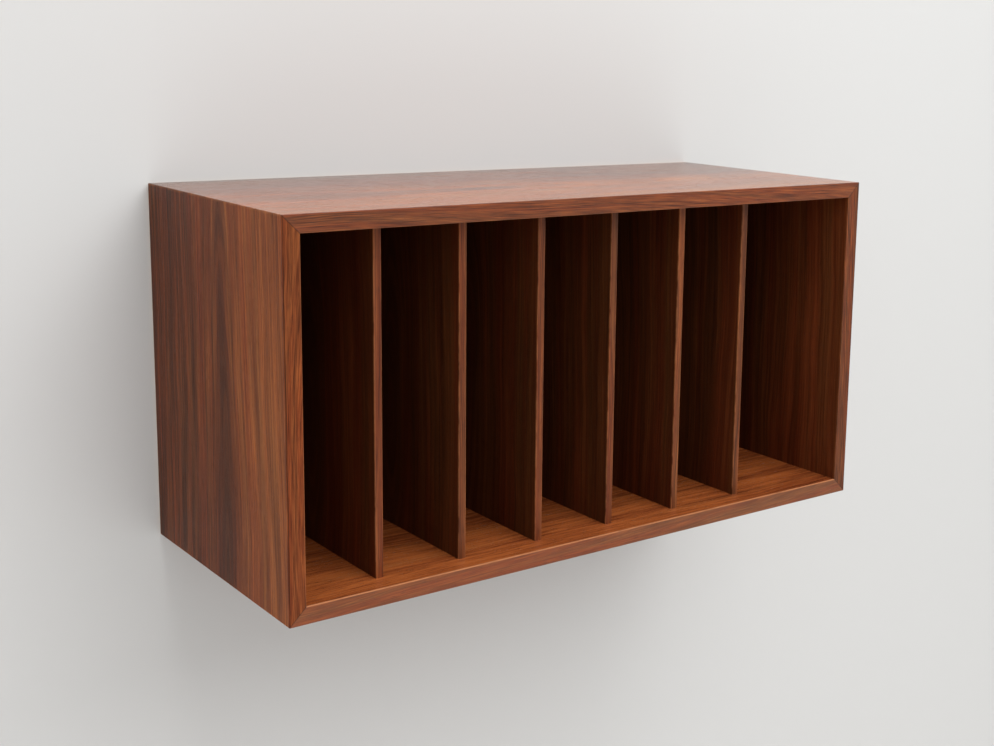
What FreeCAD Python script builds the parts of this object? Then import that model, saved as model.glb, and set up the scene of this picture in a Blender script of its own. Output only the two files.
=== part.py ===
import FreeCAD, Part
import os
from types import SimpleNamespace

import Sketcher

# A hanging record cabinet: a mitred open-front case of veneered board with six thin dividers, and a
# bevelled rail behind its back panel, which hooks over a matching rail that is fixed in place first.
#
# X runs along the width, +Y points backwards and +Z up. The mounting plane, where the back of the wall
# rail lies, is y = 0, and the origin is the middle of that rail's line of screw holes on it.

# Driving sizes in millimetres
SIZES = {
    # Case: four boards, mitred at the corners and lipped along the front
    "case_width": 800,
    "case_height": 414,
    "case_depth": 343,
    "board_thickness": 19,
    "corner_easing": 0.8,
    "lipping_thickness": 2,
    "lipping_easing": 0.8,
    # Loose splines across the mitres
    "spline_thickness": 4,
    "spline_width": 14,
    "spline_inset": 7,
    "spline_play": 0.2,
    # Dividers, housed in stopped grooves in the top and bottom boards
    "wide_bay_width": 150,
    "divider_thickness": 9,
    "divider_setback": 28,
    "divider_lipping_thickness": 2,
    "groove_depth": 6,
    "groove_play": 0.2,
    "groove_stop": 12,
    # Back panel, let into a rabbet
    "rabbet_width": 9.5,
    "back_thickness": 6,
    "back_play": 0.5,
    # Hanging rail, spacer rail and wall rail
    "rail_thickness": 12,
    "rail_end_play": 1,
    "hanging_rail_height": 45,
    "spacer_rail_height": 40,
    "wall_rail_height": 50,
    "wall_rail_end_gap": 20,
    "bevel_play": 0.4,
    "wall_gap": 2,
    # Felt pads that keep the case off the mounting plane
    "pad_diameter": 20,
    "pad_spacing": 300,
    # Holes for the screws that hold the wall rail
    "wall_hole_diameter": 5.5,
    "wall_hole_countersink": 11,
    "inner_hole_spacing": 200,
    "outer_hole_margin": 70.5,
    # Screws through the rails into the dividers
    "rail_screw_diameter": 3.5,
    "rail_screw_head": 7,
    "rail_screw_length": 45,
    # Screws through the back panel into the case boards
    "back_screw_diameter": 3,
    "back_screw_head": 6,
    "back_screw_length": 16,
    "side_screw_spacing": 140,
    # Cross recess in the screw heads, and the room round every screw
    "recess_slot": 0.8,
    "recess_depth": 1.2,
    "screw_play": 0.2,
}
DIVIDERS = 6
PADS = 3
COUNTERSINK_ANGLE = 90
TOUCHING = 1e-6


class Formula:
    """A length worked out from the sheet, written with ordinary arithmetic."""

    def __init__(self, text):
        self.text = str(text)

    def __str__(self):
        return self.text

    def __add__(self, other):
        return Formula(f"({self} + {other})")

    def __radd__(self, other):
        return Formula(f"({other} + {self})")

    def __sub__(self, other):
        return Formula(f"({self} - {other})")

    def __rsub__(self, other):
        return Formula(f"({other} - {self})")

    def __mul__(self, other):
        return Formula(f"({self} * {other})")

    def __rmul__(self, other):
        return Formula(f"({other} * {self})")

    def __truediv__(self, other):
        return Formula(f"({self} / {other})")

    def __neg__(self):
        return Formula(f"(0 - {self})")


doc = FreeCAD.newDocument("record_cabinet")
sheet = doc.addObject("Spreadsheet::Sheet", "Sizes")
for row, (alias, value) in enumerate(SIZES.items(), start=1):
    sheet.set(f"A{row}", alias)
    sheet.set(f"B{row}", str(value))
    sheet.setAlias(f"B{row}", alias)
doc.recompute()
size = SimpleNamespace(**{alias: Formula(f"Sizes.{alias}") for alias in SIZES})

# Places in the case: x from its middle, y from its rear edges (forwards is negative), z from its base
half_width = size.case_width / 2
core_depth = size.case_depth - size.lipping_thickness
rabbet_depth = size.rail_thickness + size.back_thickness
rabbet_wall = size.board_thickness - size.rabbet_width
rabbet_middle = rabbet_wall + size.rabbet_width / 2
inner_half_width = half_width - size.board_thickness
inner_top = size.case_height - size.board_thickness

narrow_bay_width = (2 * inner_half_width - DIVIDERS * size.divider_thickness - size.wide_bay_width) / DIVIDERS
divider_pitch = narrow_bay_width + size.divider_thickness
divider_places = [
    number * divider_pitch - size.divider_thickness / 2 - inner_half_width
    for number in range(1, DIVIDERS + 1)
]
bay_middles = [place - divider_pitch / 2 for place in divider_places]
bay_middles.append(inner_half_width - size.wide_bay_width / 2)
divider_core_front = size.case_depth - size.divider_setback - size.divider_lipping_thickness
groove_end = divider_core_front - size.groove_stop

rail_length = size.case_width - 2 * rabbet_wall - 2 * size.rail_end_play
hanging_rail_top = size.case_height - rabbet_wall
rail_screw_heights = (
    rabbet_wall + size.spacer_rail_height / 2,
    hanging_rail_top - size.hanging_rail_height / 2,
)

# The case hangs a small gap off the mounting plane, with its rail's bevel just above the wall rail's
case_top = (
    size.wall_rail_height / 2 + size.wall_gap + size.bevel_play + size.hanging_rail_height + rabbet_wall
)
CASE_PLACE = (0, -size.wall_gap, case_top - size.case_height)
WALL_PLACE = (0, 0, 0)

sub_parts = []


def bind(item, path, formula):
    item.setExpression(path, str(formula))


def value_of(formula):
    return float(sheet.evalExpression(str(formula)))


def put(item, place):
    for axis, formula in zip("xyz", place):
        bind(item, f"Placement.Base.{axis}", formula)


def new_body(name, place=CASE_PLACE):
    body = doc.addObject("PartDesign::Body", name)
    put(body, place)
    return body


def keep(item, label):
    """Count an object as a finished sub-part, under the name of its file."""
    item.Label = label
    sub_parts.append(item)


def new_sketch(body, role, offset=0):
    """A sketch on one of the body's own planes, moved along that plane's normal."""
    plane = next(item for item in body.Origin.OriginFeatures if item.Role == role)
    sketch = body.newObject("Sketcher::SketchObject", f"{body.Name}_sketch")
    sketch.AttachmentSupport = [(plane, "")]
    sketch.MapMode = "FlatFace"
    bind(sketch, "AttachmentOffset.Base.z", offset)
    return sketch


def pin(sketch, geometry, point, place):
    """Fix one point of a sketch at its two distances from the sketch's origin."""
    for kind, formula in zip(("DistanceX", "DistanceY"), place):
        index = sketch.addConstraint(Sketcher.Constraint(kind, -1, 1, geometry, point, value_of(formula)))
        bind(sketch, f"Constraints[{index}]", formula)


def add_outline(sketch, corners):
    """A closed outline of straight lines."""
    points = [FreeCAD.Vector(value_of(across), value_of(up), 0) for across, up in corners]
    lines = [
        sketch.addGeometry(Part.LineSegment(start, end), False)
        for start, end in zip(points, points[1:] + points[:1])
    ]
    for line, following in zip(lines, lines[1:] + lines[:1]):
        sketch.addConstraint(Sketcher.Constraint("Coincident", line, 2, following, 1))
    for line, corner in zip(lines, corners):
        pin(sketch, line, 1, corner)


def add_rectangle(sketch, left, bottom, right, top):
    add_outline(sketch, [(left, bottom), (right, bottom), (right, top), (left, top)])


def add_circle(sketch, centre, diameter):
    point = FreeCAD.Vector(*(value_of(formula) for formula in centre), 0)
    circle = Part.Circle(point, FreeCAD.Vector(0, 0, 1), value_of(diameter) / 2)
    geometry = sketch.addGeometry(circle, False)
    pin(sketch, geometry, 3, centre)
    index = sketch.addConstraint(Sketcher.Constraint("Diameter", geometry, value_of(diameter)))
    bind(sketch, f"Constraints[{index}]", diameter)


def pad(body, sketch, length, both_ways=False):
    feature = body.newObject("PartDesign::Pad", f"{body.Name}_pad")
    feature.Profile = sketch
    feature.SideType = "Symmetric" if both_ways else "One side"
    bind(feature, "Length", length)
    doc.recompute()
    return feature


def need_less(feature):
    """Stop if a cut pointed away from the wood and took nothing off."""
    doc.recompute()
    if feature.Shape.Volume >= feature.BaseFeature.Shape.Volume:
        raise RuntimeError(f"{feature.Name} cuts nothing")


def cut(body, sketch, depth, along_normal=False):
    feature = body.newObject("PartDesign::Pocket", f"{body.Name}_cut")
    feature.Profile = sketch
    feature.Reversed = along_normal
    bind(feature, "Length", depth)
    need_less(feature)


def drill_countersunk(body, sketch, diameter, countersink, along_normal=False):
    doc.recompute()
    feature = body.newObject("PartDesign::Hole", f"{body.Name}_holes")
    feature.Profile = sketch
    feature.Reversed = along_normal
    feature.DepthType = "ThroughAll"
    feature.HoleCutType = "Countersink"
    feature.HoleCutCustomValues = True
    feature.HoleCutCountersinkAngle = COUNTERSINK_ANGLE
    bind(feature, "Diameter", diameter)
    bind(feature, "HoleCutDiameter", countersink)
    need_less(feature)


def ease_front(body, base, way):
    """Round the arrises of a lipping's front face that run one way."""
    front = base.Shape.BoundBox.YMin
    names = []
    for number, edge in enumerate(base.Shape.Edges, start=1):
        start, end = (vertex.Point for vertex in edge.Vertexes)
        at_front = max(start.y, end.y) < front + TOUCHING
        if at_front and abs(getattr(end - start, way)) > TOUCHING:
            names.append(f"Edge{number}")
    feature = body.newObject("PartDesign::Fillet", f"{body.Name}_easing")
    feature.Base = (base, names)
    bind(feature, "Radius", size.lipping_easing)
    need_less(feature)


# Case boards
SIDES = ("top", "bottom", "left", "right")
LEVEL_SIDES = ("top", "bottom")
ENDS = (-1, 1)


def board_point(side, end, along, across):
    """Front view of the case: a point so far along a board from one end and so far in from outside."""
    if side in LEVEL_SIDES:
        rise = size.case_height - across if side == "top" else across
        return end * (half_width - along), rise
    rise = size.case_height - along if end > 0 else along
    return (half_width - across if side == "right" else across - half_width), rise


# A mitred end, from the inner corner to the flat that eases the outer corner
MITRED_END = (
    (size.board_thickness, size.board_thickness),
    (size.corner_easing / 2, size.corner_easing / 2),
    (size.corner_easing, 0),
)


def spline_outline(side, end, play):
    """Square-on view of a spline across a mitre, with the same play at its edges and its faces."""
    middle = size.board_thickness - size.spline_inset
    reach = (size.spline_width + play) / 2 * Formula("sqrt(0.5)")
    half = (size.spline_thickness + play) / 2 * Formula("sqrt(0.5)")
    corners = ((reach + half, half - reach), (reach - half, -reach - half),
               (-reach - half, reach - half), (half - reach, reach + half))
    return [board_point(side, end, middle + along, middle + across) for along, across in corners]


def back_screw_row(side):
    """Front view of the screws that hold the back panel to one board."""
    across, rise = board_point(side, 1, 0, rabbet_middle)
    if side in LEVEL_SIDES:
        return [(middle, rise) for middle in bay_middles]
    return [(across, (size.case_height + step * size.side_screw_spacing) / 2) for step in ENDS]


back_screw_places = [place for side in SIDES for place in back_screw_row(side)]
spline_groove_length = core_depth - rabbet_depth

for side in SIDES:
    level = side in LEVEL_SIDES
    board = new_body(f"{side}_panel" if level else f"{side}_side_panel")

    # Board with mitred ends, as long as the case is deep behind the lipping
    outline = new_sketch(board, "XZ_Plane")
    far_end = [board_point(side, 1, *point) for point in reversed(MITRED_END)]
    add_outline(outline, [board_point(side, -1, *point) for point in MITRED_END] + far_end)
    pad(board, outline, core_depth)

    # Rabbet for the back panel along the inner rear edge
    rabbet = new_sketch(board, "XZ_Plane")
    rabbet_start = board_point(side, -1, rabbet_wall, rabbet_wall)
    rabbet_far = board_point(side, 1, rabbet_wall, size.board_thickness)
    add_rectangle(rabbet, *rabbet_start, *rabbet_far)
    cut(board, rabbet, rabbet_depth, along_normal=True)

    # Grooves for the splines, from behind the lipping to the rabbet
    grooves = new_sketch(board, "XZ_Plane", core_depth)
    for end in ENDS:
        add_outline(grooves, spline_outline(side, end, size.spline_play))
    cut(board, grooves, spline_groove_length)

    # Stopped grooves for the dividers, open to the rabbet at the rear
    if level:
        housings = new_sketch(board, "XY_Plane", inner_top if side == "top" else size.board_thickness)
        groove_half = (size.divider_thickness + size.groove_play) / 2
        groove_front = -groove_end - size.groove_play
        for place in divider_places:
            left, right = place - groove_half, place + groove_half
            add_rectangle(housings, left, groove_front, right, -size.rail_thickness)
        cut(board, housings, size.groove_depth, along_normal=(side == "top"))

    # Pilot holes for the back panel's screws
    pilots = new_sketch(board, "XZ_Plane", rabbet_depth)
    for place in back_screw_row(side):
        add_circle(pilots, place, size.back_screw_diameter + size.screw_play)
    cut(board, pilots, size.back_screw_length - size.back_thickness + size.screw_play, along_normal=True)
    keep(board, board.Name)

# Solid wood lippings that cover the boards' front edges, mitred like the boards
for side in SIDES:
    lipping = new_body(f"{side}_lipping")
    strip = new_sketch(lipping, "XZ_Plane", core_depth)
    add_rectangle(strip, *board_point(side, -1, 0, 0), *board_point(side, 1, 0, size.board_thickness))
    blank = pad(lipping, strip, size.lipping_thickness)

    # Both long front arrises are eased before the ends are cut
    ease_front(lipping, blank, "x" if side in LEVEL_SIDES else "z")
    waste = new_sketch(lipping, "XZ_Plane", core_depth)
    beyond = size.board_thickness
    for end in ENDS:
        past_end = (
            (size.corner_easing, -beyond),
            (-beyond, -beyond),
            (-beyond, size.board_thickness + beyond),
            (size.board_thickness, size.board_thickness + beyond),
        )
        add_outline(waste, [board_point(side, end, *point) for point in MITRED_END + past_end])
    cut(lipping, waste, size.lipping_thickness, along_normal=True)
    keep(lipping, lipping.Name)

# Loose splines glued across the mitres
for side in LEVEL_SIDES:
    for end, hand in zip(ENDS, ("left", "right")):
        spline = new_body(f"{side}_{hand}_spline")
        section = new_sketch(spline, "XZ_Plane", rabbet_depth + size.spline_play)
        add_outline(section, spline_outline(side, end, 0))
        pad(spline, section, spline_groove_length - size.spline_play)
        keep(spline, spline.Name)

# Dividers: thin boards with tongues top and bottom, each with a lipping on its front edge
tongue = size.groove_depth - size.groove_play
pilot_depth = size.rail_screw_length - size.rail_thickness - size.back_thickness + size.screw_play

for number, place in enumerate(divider_places, start=1):
    divider_place = (place, CASE_PLACE[1], CASE_PLACE[2])
    divider = new_body(f"divider_{number}", divider_place)
    outline = new_sketch(divider, "YZ_Plane")
    add_outline(outline, [
        (-rabbet_depth, size.board_thickness - tongue),
        (-rabbet_depth, inner_top + tongue),
        (-groove_end, inner_top + tongue),
        (-groove_end, inner_top),
        (-divider_core_front, inner_top),
        (-divider_core_front, size.board_thickness),
        (-groove_end, size.board_thickness),
        (-groove_end, size.board_thickness - tongue),
    ])
    pad(divider, outline, size.divider_thickness, both_ways=True)
    pilots = new_sketch(divider, "XZ_Plane", rabbet_depth)
    for height in rail_screw_heights:
        add_circle(pilots, (0, height), size.rail_screw_diameter + size.screw_play)
    cut(divider, pilots, pilot_depth, along_normal=True)
    keep(divider, divider.Name)

    edge = new_body(f"divider_lipping_{number}", divider_place)
    strip = new_sketch(edge, "XZ_Plane", divider_core_front)
    half = size.divider_thickness / 2
    add_rectangle(strip, -half, size.board_thickness, half, inner_top)
    blank = pad(edge, strip, size.divider_lipping_thickness)
    ease_front(edge, blank, "z")
    keep(edge, edge.Name)

# Back panel, screwed into the rabbet from behind
back = new_body("back_panel")
outline = new_sketch(back, "XZ_Plane", size.rail_thickness)
inset = rabbet_wall + size.back_play
add_rectangle(outline, inset - half_width, inset, half_width - inset, size.case_height - inset)
pad(back, outline, size.back_thickness)
clearance_holes = new_sketch(back, "XZ_Plane", size.rail_thickness)
for place in divider_places:
    for height in rail_screw_heights:
        add_circle(clearance_holes, (place, height), size.rail_screw_diameter + size.screw_play)
cut(back, clearance_holes, size.back_thickness, along_normal=True)
edge_holes = new_sketch(back, "XZ_Plane", size.rail_thickness)
for place in back_screw_places:
    add_circle(edge_holes, place, size.back_screw_diameter + size.screw_play)
drill_countersunk(
    back, edge_holes, size.back_screw_diameter + size.screw_play, size.back_screw_head + size.screw_play,
    along_normal=True,
)
keep(back, back.Name)

# Hanging rail under the top board, bevelled to hook over the wall rail, and the spacer rail at the bottom
hanging_rail = new_body("hanging_rail")
section = new_sketch(hanging_rail, "YZ_Plane")
hook = hanging_rail_top - size.hanging_rail_height
add_outline(section, [
    (-size.rail_thickness, hook),
    (0, hook - size.rail_thickness),
    (0, hanging_rail_top),
    (-size.rail_thickness, hanging_rail_top),
])
pad(hanging_rail, section, rail_length, both_ways=True)

spacer_rail = new_body("spacer_rail")
section = new_sketch(spacer_rail, "YZ_Plane")
add_rectangle(section, -size.rail_thickness, rabbet_wall, 0, rabbet_wall + size.spacer_rail_height)
pad(spacer_rail, section, rail_length, both_ways=True)

for rail, height in zip((spacer_rail, hanging_rail), rail_screw_heights):
    holes = new_sketch(rail, "XZ_Plane")
    for place in divider_places:
        add_circle(holes, (place, height), size.rail_screw_diameter + size.screw_play)
    drill_countersunk(
        rail, holes, size.rail_screw_diameter + size.screw_play, size.rail_screw_head + size.screw_play,
        along_normal=True,
    )
    keep(rail, rail.Name)

# Wall rail, with countersunk holes for the screws that hold it
wall_rail = new_body("wall_rail", WALL_PLACE)
section = new_sketch(wall_rail, "YZ_Plane")
half = size.wall_rail_height / 2
add_outline(section, [
    (-size.rail_thickness, -half),
    (0, -half),
    (0, half - size.rail_thickness),
    (-size.rail_thickness, half),
])
wall_rail_length = size.case_width - 2 * rabbet_wall - 2 * size.wall_rail_end_gap
pad(wall_rail, section, wall_rail_length, both_ways=True)
holes = new_sketch(wall_rail, "XZ_Plane", size.rail_thickness)
outer_hole_reach = wall_rail_length / 2 - size.outer_hole_margin
for reach in (size.inner_hole_spacing / 2, outer_hole_reach):
    for end in ENDS:
        add_circle(holes, (end * reach, 0), size.wall_hole_diameter)
drill_countersunk(wall_rail, holes, size.wall_hole_diameter, size.wall_hole_countersink)
keep(wall_rail, wall_rail.Name)


# Fasteners: one screw of each kind, driven forwards, repeated wherever it is used
def new_screw(name, diameter, head, length):
    screw = new_body(name, WALL_PLACE)
    profile = new_sketch(screw, "XY_Plane")
    add_outline(profile, [
        (0, 0),
        (head / 2, 0),
        (diameter / 2, (diameter - head) / 2),
        (diameter / 2, diameter - length),
        (0, -length),
    ])
    turned = screw.newObject("PartDesign::Revolution", f"{name}_turned")
    turned.Profile = profile
    turned.ReferenceAxis = (profile, ["V_Axis"])
    turned.Angle = 360
    doc.recompute()

    # Cross recess in the head
    recess = new_sketch(screw, "XZ_Plane")
    arm = head / 4
    slot = size.recess_slot / 2
    add_outline(recess, [
        (slot, slot), (arm, slot), (arm, -slot), (slot, -slot), (slot, -arm), (-slot, -arm),
        (-slot, -slot), (-arm, -slot), (-arm, slot), (-slot, slot), (-slot, arm), (slot, arm),
    ])
    cut(screw, recess, size.recess_depth, along_normal=True)
    return screw


def repeat(label, master, places):
    """Separate copies of one piece, at their places in the case, gathered in one group."""
    copies = []
    for place in places:
        copy = doc.addObject("App::Link", f"{label}_copy")
        copy.LinkedObject = master
        put(copy, place)
        copies.append(copy)
    group = doc.addObject("Part::Compound", label)
    group.Links = copies
    put(group, CASE_PLACE)
    keep(group, label)


rail_screw = new_screw(
    "rail_screw", size.rail_screw_diameter, size.rail_screw_head, size.rail_screw_length
)
repeat("rail_screws", rail_screw, [
    (place, 0, height) for height in rail_screw_heights for place in divider_places
])
back_screw = new_screw(
    "back_screw", size.back_screw_diameter, size.back_screw_head, size.back_screw_length
)
repeat("back_panel_screws", back_screw, [
    (across, -size.rail_thickness, height) for across, height in back_screw_places
])

# Felt pads behind the spacer rail, which fill the gap to the mounting plane
felt = new_body("felt_pad", WALL_PLACE)
disc = new_sketch(felt, "XZ_Plane", -size.wall_gap)
add_circle(disc, (0, 0), size.pad_diameter)
pad(felt, disc, size.wall_gap)
repeat("felt_pads", felt, [
    ((number - (PADS - 1) / 2) * size.pad_spacing, 0, rail_screw_heights[0]) for number in range(PADS)
])

# Nothing is written unless every object is sound
doc.recompute()
for item in doc.Objects:
    if "Invalid" in item.State or "Error" in item.State:
        raise RuntimeError(f"{item.Name} failed: {item.State}")
for item in sub_parts:
    if item.Shape.isNull() or not item.Shape.isValid():
        raise RuntimeError(f"{item.Label} has no sound shape")

os.makedirs("parts", exist_ok=True)
for item in sub_parts:
    item.Shape.exportStep(f"parts/{item.Label}.step")
    print(f"{item.Label}: {len(item.Shape.Solids)} solid(s), {item.Shape.Volume / 1000:.1f} cm3")
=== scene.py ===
import math

import bmesh
import bpy
from mathutils import Matrix, Vector


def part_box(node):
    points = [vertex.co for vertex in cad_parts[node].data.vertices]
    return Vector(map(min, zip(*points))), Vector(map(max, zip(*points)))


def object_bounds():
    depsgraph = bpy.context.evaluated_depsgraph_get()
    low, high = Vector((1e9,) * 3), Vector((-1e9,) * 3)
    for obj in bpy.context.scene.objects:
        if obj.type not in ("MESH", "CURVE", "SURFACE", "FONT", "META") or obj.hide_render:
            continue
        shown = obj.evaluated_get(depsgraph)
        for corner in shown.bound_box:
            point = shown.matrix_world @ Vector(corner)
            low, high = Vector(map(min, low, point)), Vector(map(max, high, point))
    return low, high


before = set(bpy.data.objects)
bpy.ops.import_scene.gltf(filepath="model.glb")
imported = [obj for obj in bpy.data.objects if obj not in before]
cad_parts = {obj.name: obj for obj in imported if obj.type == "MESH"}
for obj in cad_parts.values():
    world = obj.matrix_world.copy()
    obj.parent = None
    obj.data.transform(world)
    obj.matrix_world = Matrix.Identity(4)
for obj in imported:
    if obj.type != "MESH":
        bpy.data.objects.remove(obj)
cad_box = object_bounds()


# Case boards
# The top, the bottom and the two sides are 19 mm plywood faced with red-brown walnut veneer. They are
# mitred and glued at the corners and lacquered, the level boards to a higher gloss. The grain runs
# lengthwise along the top and the bottom and upright on the sides.
class Shade:
    """A shader socket that plain arithmetic works on: each operation adds the node that does it."""

    def __init__(self, tree, socket=None):
        self.tree = tree
        self.socket = socket

    def node(self, kind, settings, sockets, output=0):
        """Adds a node with its settings, then the values or the links of its sockets."""
        added = self.tree.nodes.new(kind)
        for setting, value in settings.items():
            if setting == "stops":
                set_stops(added.color_ramp, value)
            else:
                setattr(added, setting, value)
        for name, value in sockets.items():
            if isinstance(value, Shade):
                self.tree.links.new(value.socket, added.inputs[name])
            else:
                added.inputs[name].default_value = value
        return Shade(self.tree, added.outputs[output])

    def axes(self):
        """The parts of a vector along X, Y and Z."""
        parts = self.node("ShaderNodeSeparateXYZ", {}, {"Vector": self}).socket.node.outputs
        return {axis: Shade(self.tree, parts[axis]) for axis in "XYZ"}

    def maths(self, operation, *terms):
        return self.node("ShaderNodeMath", {"operation": operation}, dict(enumerate(terms)))

    def __add__(self, other):
        return self.maths("ADD", self, other)

    def __sub__(self, other):
        return self.maths("SUBTRACT", self, other)

    def __rsub__(self, other):
        return self.maths("SUBTRACT", other, self)

    def __mul__(self, other):
        return self.maths("MULTIPLY", self, other)

    def __truediv__(self, other):
        return self.maths("DIVIDE", self, other)

    def __pow__(self, power):
        return self.maths("POWER", self, power)

    def __abs__(self):
        return self.maths("ABSOLUTE", self)

    __radd__ = __add__
    __rmul__ = __mul__

    def least(self, other):
        return self.maths("MINIMUM", self, other)

    def most(self, other):
        return self.maths("MAXIMUM", self, other)

    def rise(self, low, high):
        """Goes smoothly from 0 at low to 1 at high."""
        limits = {"Value": self, "From Min": low, "From Max": high}
        return self.node("ShaderNodeMapRange", {"interpolation_type": "SMOOTHSTEP"}, limits)

    def fall(self, low, high):
        """Goes smoothly from 1 at low to 0 at high."""
        return 1 - self.rise(low, high)

    def ramp(self, stops):
        return self.node("ShaderNodeValToRGB", {"stops": stops}, {"Fac": self})

    def between(self, first, second):
        """Mixes two colours: the first where this is 0, the second where it is 1."""
        return self.node("ShaderNodeMix", {"data_type": "RGBA"}, {0: self, 6: first, 7: second}, 2)


def set_stops(ramp, stops):
    ramp.elements.remove(ramp.elements[1])
    ramp.elements[0].position, ramp.elements[0].color = stops[0]
    for position, colour in stops[1:]:
        ramp.elements.new(position).color = colour


def tint(red, green, blue):
    """A colour given as it shows on a screen, 0 to 255, in the light values that shaders use."""
    shown = [part / 255 for part in (red, green, blue)]
    return [((part + 0.055) / 1.055) ** 2.4 for part in shown] + [1.0]


def noise(x, y, z, detail=2.0):
    """Soft cloudy noise around 0.5, at a place counted in noise cells."""
    spot = x.node("ShaderNodeCombineXYZ", {}, {"X": x, "Y": y, "Z": z})
    return spot.node("ShaderNodeTexNoise", {}, {"Vector": spot, "Scale": 1.0, "Detail": detail})


def grain(across, along, layer, width, length, detail=2.0):
    """Noise around 0, drawn out along the grain in cells of this width and length in metres."""
    return noise(across / width, along / length, layer, detail) - 0.5


def patches(across, along, through, seed, size):
    """Noise around 0.5 in even patches of this size in metres."""
    return noise(across / size, along / size, through / size + seed)


def new_finish(name):
    """A new material, with the place on the piece along X, Y and Z in metres."""
    material = bpy.data.materials.new(name)
    material.use_nodes = True
    start = Shade(material.node_tree)
    return material, start.node("ShaderNodeTexCoord", {}, {}, "Object").axes()


def coat(material, colour, roughness, height, relief, fixed):
    """Joins what varies over a surface to its shader, and sets what is fixed."""
    surface = material.node_tree.nodes["Principled BSDF"]
    bump = height.node("ShaderNodeBump", {}, {"Height": height, "Distance": relief})
    for name, value in {"Base Color": colour, "Roughness": roughness, "Normal": bump}.items():
        material.node_tree.links.new(value.socket, surface.inputs[name])
    for name, value in fixed.items():
        surface.inputs[name].default_value = value


def dress(node, material):
    """Puts one finish on all of a node."""
    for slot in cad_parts[node].material_slots:
        slot.material = material


def limits_of(node):
    """The lowest and the highest place of a node along each axis."""
    low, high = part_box(node)
    return dict(zip("XYZ", zip(low, high)))


def from_edge(place, limits):
    """The distance to the nearer of a piece's two limits."""
    low, high = limits
    return (place - low).least(high - place)


class Walnut:
    """Flat-cut walnut, as values over a face.

    Growth rings are cylinders round a pith that lies below the face and leans along it, so they show
    as long arches near the heart and as straight stripes away from it. A smaller scale makes the figure
    finer, a smaller run makes its thin streaks shorter, and broad sets the strength of its wide bands.
    Each kind of mark reads the noise at a layer of its own, so that none repeats another.
    """

    leaf_depth = 0.05
    pith_depth = 0.022
    heart_radius = 0.036
    dark_radius = 0.012
    bend_reach = 0.03
    ripple_reach = 0.008
    fibre_width = 0.0008
    pore_width = 0.0006
    pore_colour = tint(52, 27, 18)

    def __init__(self, across, along, through, seed, heart, lean=0.06, scale=1.0, run=1.0, contrast=1.0,
                 broad=1.0):
        layer = through / self.leaf_depth + seed
        fibre_layer = through / self.fibre_width + seed
        pore_layer = through / self.pore_width + seed
        bend = grain(across, along, layer, width=0.12, length=0.40)
        ripple = grain(across, along, layer + 9.0, width=0.03 * scale, length=0.17)
        offset = across - heart + bend * self.bend_reach
        depth = along * lean + self.pith_depth
        ring = (offset * offset + depth * depth) ** 0.5 + ripple * (self.ripple_reach * scale)
        bands = grain(ring, along, layer, width=0.030 * scale, length=0.90)
        stripes = grain(ring, along, layer + 3.0, width=0.011 * scale, length=0.40, detail=3.0)
        streaks = grain(ring, along, layer + 5.0, width=0.0032 * scale, length=0.20 * run)
        clouds = grain(across, along, layer + 7.0, width=0.03 * scale, length=0.10)
        hues = grain(ring, along, layer + 13.0, width=0.017 * scale, length=0.50)
        fibres = grain(across, along, fibre_layer, width=self.fibre_width, length=0.035)
        specks = grain(across, along, pore_layer, width=self.pore_width, length=0.012, detail=1.0)
        wide = bands * 0.6 + stripes * 0.6 + clouds * 0.2
        fine = streaks * 0.95 + fibres * 0.5
        self.tone = (wide * broad + fine) * contrast + 0.5
        self.redness = hues.rise(-0.24, 0.24)
        self.heartwood = ring.fall(self.dark_radius, self.heart_radius)
        self.pores = specks.rise(0.08, 0.22)
        self.relief = streaks * 0.3 + fibres * 0.3 - self.pores

    def calm(self, share):
        """Weakens the light and dark of the figure by this share."""
        self.tone = (self.tone - 0.5) * (1 - share) + 0.5

    def shift(self, tone, red):
        """Makes the wood paler and redder."""
        self.tone = self.tone + tone
        self.redness = (self.redness + red).most(0.0).least(1.0)

    def colour(self):
        """Brown and red-brown wood in turn, with dark pores."""
        brown = self.tone.ramp([
            (0.00, tint(46, 24, 12)),
            (0.30, tint(84, 46, 23)),
            (0.55, tint(116, 66, 35)),
            (1.00, tint(168, 103, 57)),
        ])
        red = self.tone.ramp([
            (0.00, tint(48, 19, 10)),
            (0.30, tint(90, 40, 20)),
            (0.55, tint(125, 60, 31)),
            (1.00, tint(177, 97, 49)),
        ])
        wood = self.redness.between(brown, red)
        return (self.pores * 0.4).between(wood, self.pore_colour)

    def roughness(self, lacquer):
        """The lacquer lies thinner over the pores and the pale wood."""
        return (self.tone - 0.5) * 0.08 + self.pores * 0.1 + lacquer


veneer_thickness = 0.0010
ply_thickness = 0.0014
ply_colour = tint(206, 172, 128)
cross_ply_colour = tint(166, 124, 82)
dark_line_width = 0.0004
# Dark glue in the joints; on the upright lippings it also colours a painted shade line.
glue_and_shade_colour = tint(46, 25, 17)
heart_colour = tint(66, 36, 22)
# Paler wood where the lacquer is worn at the boards' ends, and a painted highlight, partly also wear,
# along the lippings' arrises.
wear_and_highlight_colour = tint(198, 128, 82)
arris_patch_size = 0.02
smudge = 0.06
# Between these two depths the boards go from paler at the front to darker by the wall: partly the
# veneer's own tone, partly painted shade on the sides and a painted sheen on the top.
pale_front = cad_box[0][1] + 0.015
pale_rear = cad_box[1][1] - 0.020


def plywood(depth, along, seed):
    """The layers of a plywood core, seen where a board is cut."""
    fold = depth.maths("PINGPONG", depth / ply_thickness, 1.0).rise(0.45, 0.55)
    fibre = grain(along, depth, seed, width=0.004, length=0.0007)
    return (fold * 0.7 + fibre).between(ply_colour, cross_ply_colour)


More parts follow.
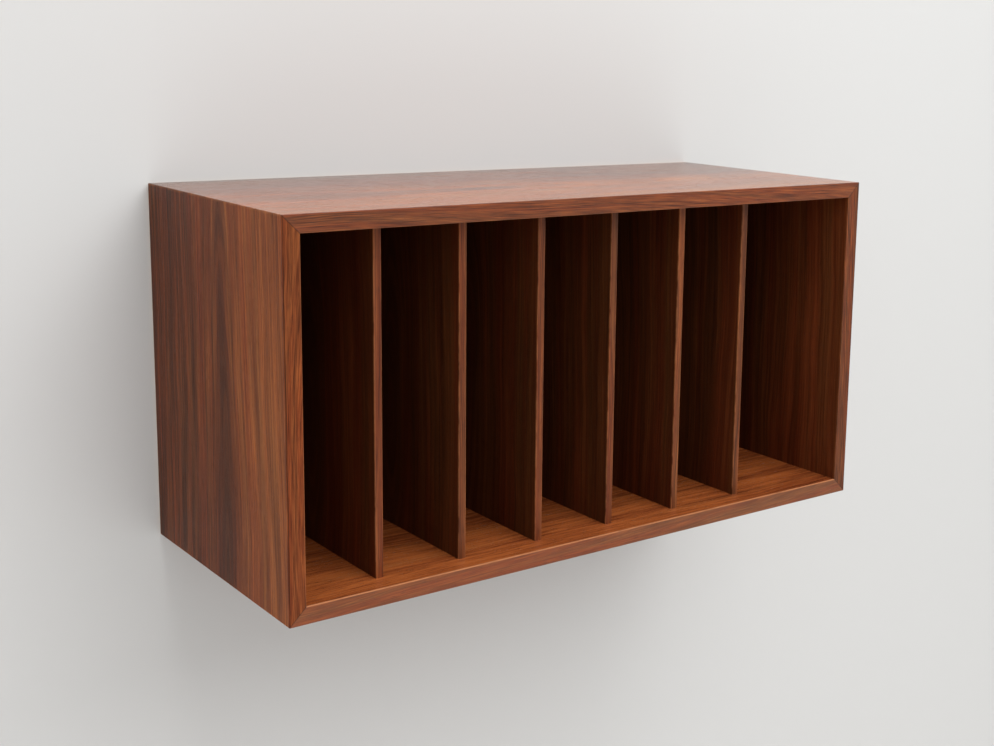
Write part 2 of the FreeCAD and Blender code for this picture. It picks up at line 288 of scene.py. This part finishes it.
def case_board(node, along_axis, through_axis, outer, seed, heart, lean, run, contrast, broad, tone, pale,
               inside, calm, dark, red, lacquer, gloss):
    """Dresses a board whose outer face is at its low (0) or high (1) limit through it.

    The values from heart to broad shape the figure. Tone and red shift its colour, and pale lightens it
    towards the front and darkens it towards the wall: partly the wood's own tone, partly painted shade on
    the sides and a painted sheen on the top. Dark is the strength of the stripe at the heart. Inside
    shifts the tone of the inner face; where it darkens it, that is painted shade inside the case. Calm is
    the share by which the inner face's figure is weaker.
    """
    material, place = new_finish(node + "_walnut")
    limits = limits_of(node)
    along, through, across = place[along_axis], place[through_axis], place["Y"]
    wood = Walnut(across, along, through, seed, heart, lean, run=run, contrast=contrast, broad=broad)
    # Paler at the front and darker by the wall: partly the wood's own tone, partly painted shade and
    # sheen.
    wood_and_painted_shade_gradient = across.fall(pale_front, pale_rear) - 0.5
    low, high = limits[through_axis]
    half_thickness = (high - low) / 2
    inner_depth = abs(through - limits[through_axis][1 - outer])
    # On the top and the sides a negative inside darkens the inner face as painted shade inside the case.
    inward = inner_depth.fall(half_thickness - veneer_thickness, half_thickness)
    wood.calm(inward * calm)
    wood.shift(wood_and_painted_shade_gradient * pale - wood.heartwood * (dark * 0.3) + inward * inside + tone, red)
    colour = (wood.heartwood * dark).between(wood.colour(), heart_colour)
    face_depth = from_edge(through, limits[through_axis])
    end_depth = from_edge(along, limits[along_axis])
    arris_patches = patches(across, along, through, seed, arris_patch_size).rise(0.35, 0.65)
    wear_and_highlight = end_depth.fall(0.0006, 0.0024) * arris_patches
    colour = (wear_and_highlight * 0.3).between(colour, wear_and_highlight_colour)
    core = face_depth.rise(veneer_thickness * 0.9, veneer_thickness)
    colour = core.between(colour, plywood(face_depth, along, seed))
    glue = abs(end_depth - face_depth).fall(dark_line_width * 0.4, dark_line_width) * 0.4
    colour = glue.between(colour, glue_and_shade_colour)
    smudges = patches(across, along, through, seed, smudge) - 0.5
    roughness = wood.roughness(lacquer) + smudges * 0.06 + core * 0.4 + wear_and_highlight * 0.1
    coat(material, colour, roughness, wood.relief, relief=0.0001, fixed={"Specular IOR Level": gloss})
    dress(node, material)


# The top's paler tone is partly the veneer's own and partly painted light from above.
case_board("top_panel", "X", "Z", outer=1, seed=4.0, heart=-0.21, lean=0.06, run=0.5, contrast=1.2,
           broad=0.7, tone=0.12, pale=0.45, inside=-0.2, calm=0.4, dark=0.08, red=-0.2, lacquer=0.18,
           gloss=0.3)
case_board("bottom_panel", "X", "Z", outer=0, seed=11.0, heart=-0.12, lean=0.05, run=0.35, contrast=1.1,
           broad=1.0, tone=0.0, pale=0.1, inside=0.3, calm=0.0, dark=0.15, red=0.6, lacquer=0.16,
           gloss=0.35)
case_board("left_side_panel", "Z", "X", outer=0, seed=23.0, heart=-0.197, lean=0.06, run=1.0,
           contrast=1.0, broad=0.9, tone=0.0, pale=0.42, inside=-0.25, calm=0.5, dark=0.55, red=0.05,
           lacquer=0.33, gloss=0.05)
case_board("right_side_panel", "Z", "X", outer=1, seed=37.0, heart=-0.15, lean=0.07, run=1.0,
           contrast=1.0, broad=0.9, tone=0.0, pale=0.3, inside=-0.25, calm=0.5, dark=0.4, red=0.1,
           lacquer=0.33, gloss=0.06)


# Lippings
# Solid walnut strips, 2 mm thick, glued over the front edges of the boards and mitred like them. Their
# front arrises are eased; a paler band on the inner ones is a painted highlight, partly also rubbed
# lacquer. On the upright strips a dark line 1 mm in from the outer edge is painted shade beside the eased
# arris.
heart_offset = 0.6
joint_strength = 0.55


def lipping(node, along_axis, across_axis, outer, seed, contrast, tone, red, inner_arris_highlight_and_wear, outer_shade_line, gloss):
    """Dresses a strip whose outer edge is at its low (0) or high (1) limit across it.

    The value after red sets how pale the inner arris is made, a painted highlight that partly also stands
    for worn lacquer, and the next one how dark the painted shade line beside the outer arris is.
    """
    material, place = new_finish(node + "_walnut")
    limits = limits_of(node)
    along, across, through = place[along_axis], place[across_axis], place["Y"]
    outer_edge = limits[across_axis][outer]
    inner_edge = limits[across_axis][1 - outer]
    heart = inner_edge + (inner_edge - outer_edge) * heart_offset
    wood = Walnut(across, along, through, seed, heart, lean=0.04, scale=0.35, run=0.25, contrast=contrast,
                  broad=0.35)
    wood.shift(tone, red)
    outer_depth = abs(across - outer_edge)
    inner_depth = abs(across - inner_edge)
    arris_patches = patches(across, along, through, seed, arris_patch_size).rise(0.3, 0.5)
    # The paler inner arris: a painted highlight, partly also worn lacquer.
    wear_and_highlight = inner_depth.fall(0.0004, 0.0013) * (arris_patches * 0.4 + 0.6) * inner_arris_highlight_and_wear
    colour = wear_and_highlight.between(wood.colour(), wear_and_highlight_colour)
    end_depth = from_edge(along, limits[along_axis])
    mitre = abs(end_depth - outer_depth).fall(dark_line_width * 0.5, dark_line_width * 1.5) * joint_strength
    # A dark line 1 mm in from the outer edge: painted shade beside the eased arris.
    painted_arris_shade = abs(outer_depth - veneer_thickness).fall(dark_line_width * 0.5, dark_line_width * 1.5) * outer_shade_line
    colour = mitre.most(painted_arris_shade).between(colour, glue_and_shade_colour)
    roughness = wood.roughness(lacquer=0.36)
    coat(material, colour, roughness, wood.relief, relief=0.00012, fixed={"Specular IOR Level": gloss})
    dress(node, material)


lipping("top_lipping", "X", "Z", outer=1, seed=51.0, contrast=1.1, tone=-0.01, red=0.05,
        inner_arris_highlight_and_wear=0.1, outer_shade_line=0.0, gloss=0.28)
# The bottom strip's paler tone is partly the wood's own and partly a painted sheen.
lipping("bottom_lipping", "X", "Z", outer=0, seed=63.0, contrast=0.7, tone=0.1, red=0.0,
        inner_arris_highlight_and_wear=0.8, outer_shade_line=0.0, gloss=0.35)
lipping("left_lipping", "Z", "X", outer=0, seed=77.0, contrast=1.1, tone=0.03, red=0.15,
        inner_arris_highlight_and_wear=0.25, outer_shade_line=0.9, gloss=0.1)
lipping("right_lipping", "Z", "X", outer=1, seed=89.0, contrast=1.3, tone=-0.05, red=0.0,
        inner_arris_highlight_and_wear=0.1, outer_shade_line=0.7, gloss=0.2)


# Splines
# Loose strips of birch plywood, glued into grooves across the mitres to line the boards up and to
# strengthen the corners. They are raw wood, hidden inside the joints.
birch_fibre = 0.0006
material, place = new_finish("birch_ply")
layers = plywood(place["X"] + place["Z"], place["Y"], seed=5.0)
fibre = grain(place["X"], place["Y"], place["Z"] / birch_fibre, width=birch_fibre, length=0.01)
coat(material, layers, 0.7 + fibre * 0.2, fibre, relief=0.0001, fixed={})
for corner in ("top_left", "top_right", "bottom_left", "bottom_right"):
    dress(corner + "_spline", material)


# Dividers
# Six upright 9 mm boards, veneered like the case and housed in grooves in the top and the bottom. Their
# veneer is darkened as painted shade inside the bays, and their lacquer is duller than the case's.
divider_count = 6
material, place = new_finish("divider_walnut")
wood = Walnut(place["Y"], place["Z"], place["X"], seed=101.0, heart=-0.17, lean=0.14, contrast=0.5)
# Darker than the case: painted shade inside the bays.
wood.shift(tone=-0.22, red=0.0)
colour = (wood.heartwood * 0.4).between(wood.colour(), heart_colour)
roughness = wood.roughness(lacquer=0.42)
coat(material, colour, roughness, wood.relief, relief=0.00012, fixed={"Specular IOR Level": 0.06})
for number in range(1, divider_count + 1):
    dress(f"divider_{number}", material)


# Divider lippings
# Solid walnut strips, 2 mm thick, glued to the front edges of the dividers. Each is cut from another
# piece of wood, with eased arrises made paler in patches: rubbed lacquer, and partly a painted highlight.
for number in range(1, divider_count + 1):
    node = f"divider_lipping_{number}"
    material, place = new_finish(node + "_walnut")
    across, along, through = place["X"], place["Z"], place["Y"]
    wood = Walnut(across, along, through, seed=113.0 + number, heart=0.5, lean=0.1, scale=0.5)
    # Both arrises are made paler in patches: worn lacquer, and partly a painted highlight on the eased
    # arrises.
    arris_patches = patches(across, along, through, number, arris_patch_size).rise(0.3, 0.6)
    wear_and_highlight = from_edge(across, limits_of(node)["X"]).fall(0.0003, 0.0010) * arris_patches
    colour = (wear_and_highlight * 0.35).between(wood.colour(), wear_and_highlight_colour)
    roughness = wood.roughness(lacquer=0.40)
    coat(material, colour, roughness, wood.relief, relief=0.00012, fixed={"Specular IOR Level": 0.2})
    dress(node, material)


# Back panel
# A 6 mm plywood panel let into a rabbet and screwed to the case. Its front has the same walnut veneer,
# darkened as painted shade at the back of the bays, and its rear a plain backing veneer with no lacquer.
material, place = new_finish("back_panel_walnut")
rear = limits_of("back_panel")["Y"][1]
wood = Walnut(place["X"], place["Z"], place["Y"], seed=131.0, heart=0.08, lean=0.12, contrast=0.7)
# Darker than the case: painted shade at the back of the bays.
wood.shift(tone=-0.15, red=0.0)
behind = (rear - place["Y"]).fall(0.0002, 0.0006)
fine_leaf = grain(place["X"], place["Z"], 7.0, width=0.004, length=0.15)
broad_leaf = grain(place["X"], place["Z"], 3.0, width=0.05, length=0.6)
leaf = (fine_leaf + broad_leaf) * 0.6 + 0.6
backing = leaf.between(tint(176, 132, 92), tint(140, 98, 64))
colour = behind.between(wood.colour(), backing)
roughness = wood.roughness(lacquer=0.45) + behind * 0.3
coat(material, colour, roughness, wood.relief, relief=0.00012, fixed={"Specular IOR Level": 0.06})
dress("back_panel", material)


# Rails
# Planed beech with no finish. The hanging rail and the spacer rail lie behind the back panel, screwed to
# the dividers, and the hanging rail hooks over the bevelled wall rail.
ring_width = 0.006
fleck_width = 0.0005
material, place = new_finish("planed_beech")
across, along, through = place["Z"], place["X"], place["Y"]
growth = grain(across, along, through / ring_width, width=ring_width, length=0.30)
specks = grain(across, along, through / fleck_width, width=fleck_width, length=0.003, detail=1.0)
flecks = specks.rise(0.10, 0.20)
colour = growth.rise(-0.15, 0.15).between(tint(214, 176, 138), tint(196, 152, 112))
colour = (flecks * 0.5).between(colour, tint(150, 102, 68))
coat(material, colour, 0.55 + flecks * 0.1, growth - flecks, relief=0.0001, fixed={})
for rail in ("hanging_rail", "spacer_rail", "wall_rail"):
    dress(rail, material)


# Screws
# Zinc-plated steel wood screws with countersunk heads and cross recesses. They hold the rails to the
# dividers and the back panel to the case.
material, place = new_finish("zinc_plate")
scuffs = patches(place["X"], place["Z"], place["Y"], seed=0.0, size=0.0008)
colour = scuffs.between(tint(146, 146, 142), tint(172, 170, 162))
coat(material, colour, 0.40 + scuffs * 0.2, scuffs, relief=0.00003, fixed={"Metallic": 1.0})
for group in ("rail_screws", "back_panel_screws"):
    dress(group, material)


# Felt pads
# Self-adhesive discs of dark pressed felt, stuck to the rear of the spacer rail. They keep it from
# marking what the cabinet hangs on.
felt_fibre = 0.0007
material, place = new_finish("dark_felt")
spot = {axis: place[axis] / felt_fibre for axis in "XYZ"}
fibres = noise(spot["X"], spot["Z"], spot["Y"], detail=4.0)
colour = fibres.rise(0.3, 0.7).between(tint(44, 43, 42), tint(88, 86, 84))
coat(material, colour, 0.9 + fibres * 0.1, fibres, relief=0.0004, fixed={"Sheen Weight": 0.5})
dress("felt_pads", material)


# Studio
# A plain pale backdrop behind the cabinet and a floor far below it, both see-through from their backs.
# Soft light comes from the front and from above, and a weaker lamp lights the cabinet's back.
def stage_sheet(name, size, colour, position):
    """A flat matt sheet that can't be seen from behind."""
    sheet = bpy.data.meshes.new(name)
    shape = bmesh.new()
    spread = position @ Matrix.Diagonal((*size, 1, 1))
    bmesh.ops.create_grid(shape, x_segments=1, y_segments=1, size=0.5, matrix=spread)
    shape.to_mesh(sheet)
    shape.free()
    item = bpy.data.objects.new(name, sheet)
    bpy.context.scene.collection.objects.link(item)
    material = bpy.data.materials.new(name + "_paint")
    material.use_nodes = True
    tree = material.node_tree
    paint = tree.nodes["Principled BSDF"]
    for socket, value in {"Base Color": colour, "Roughness": 0.9, "Specular IOR Level": 0.1}.items():
        paint.inputs[socket].default_value = value
    front = Shade(tree, paint.outputs[0])
    back = front.node("ShaderNodeBsdfTransparent", {}, {})
    behind = front.node("ShaderNodeNewGeometry", {}, {}, "Backfacing")
    choice = front.node("ShaderNodeMixShader", {}, {0: behind, 1: front, 2: back})
    tree.links.new(choice.socket, tree.nodes["Material Output"].inputs["Surface"])
    sheet.materials.append(material)
    return item


backdrop_gap = 0.0005
floor_height = -1.6
upright = Matrix.Translation((0, backdrop_gap, 0)) @ Matrix.Rotation(math.radians(90), 4, "X")
backdrop = stage_sheet("backdrop", (9.0, 6.0), tint(221, 221, 220), upright)
backdrop.visible_shadow = False
stage_sheet("floor", (12.0, 12.0), tint(225, 223, 220), Matrix.Translation((0, 0, floor_height)))


def soft_lamp(name, position, target, size, watts):
    """A rectangular lamp, itself unseen, that points at a target."""
    lamp = bpy.data.lights.new(name, "AREA")
    lamp.shape = "RECTANGLE"
    lamp.size, lamp.size_y = size
    lamp.energy = watts
    item = bpy.data.objects.new(name, lamp)
    item.location = position
    item.rotation_euler = (Vector(target) - Vector(position)).to_track_quat("-Z", "Y").to_euler()
    item.visible_camera = False
    bpy.context.scene.collection.objects.link(item)


middle = (Vector(cad_box[0]) + Vector(cad_box[1])) / 2
soft_lamp("key_softbox", (0.7, -3.0, 2.2), middle, size=(3.2, 2.4), watts=54.0)
soft_lamp("overhead_softbox", (0.2, -1.2, 2.2), middle, size=(2.4, 1.4), watts=20.0)
soft_lamp("rear_softbox", (0.0, 1.6, middle.z), middle, size=(0.7, 0.35), watts=12.0)

low_glow, high_glow = 0.36, 0.96
seen_glow = 0.88
seen_rays = ("Is Camera Ray", "Is Glossy Ray", "Is Transmission Ray")
world = bpy.data.worlds.new("studio")
world.use_nodes = True
tree = world.node_tree
sky = Shade(tree)
upward = sky.node("ShaderNodeTexCoord", {}, {}, "Generated").axes()["Z"]
glow = upward.rise(-0.4, 0.9) * (high_glow - low_glow) + low_glow
seen = sum(sky.node("ShaderNodeLightPath", {}, {}, ray) for ray in seen_rays).least(1.0)
strength = glow + seen * (seen_glow - glow)
background = tree.nodes["Background"]
background.inputs["Color"].default_value = (1.0, 1.0, 1.0, 1.0)
tree.links.new(strength.socket, background.inputs["Strength"])
bpy.context.scene.world = world
bpy.context.scene.view_settings.view_transform = "Standard"


# Camera
# It stands in front of the cabinet's left end and a little above it, and looks down and along the front.
# Its place, angles and focal length were fitted to the corners of the case.
image_width = 994
focal_pixels = 1429.5
heading = math.radians(39.24)
down = math.radians(10.16)
roll = math.radians(1.45)
lens = bpy.data.cameras.new("camera")
lens.sensor_width = 36.0
lens.lens = focal_pixels / image_width * lens.sensor_width
lens.shift_x = -0.145
lens.shift_y = -0.068
camera = bpy.data.objects.new("camera", lens)
camera.location = (-0.9837, -1.5998, 0.2442)
turn = Matrix.Rotation(-heading, 3, "Z") @ Matrix.Rotation(math.radians(90) - down, 3, "X")
camera.rotation_euler = (turn @ Matrix.Rotation(roll, 3, "Z")).to_euler()
bpy.context.scene.collection.objects.link(camera)
bpy.context.scene.camera = camera
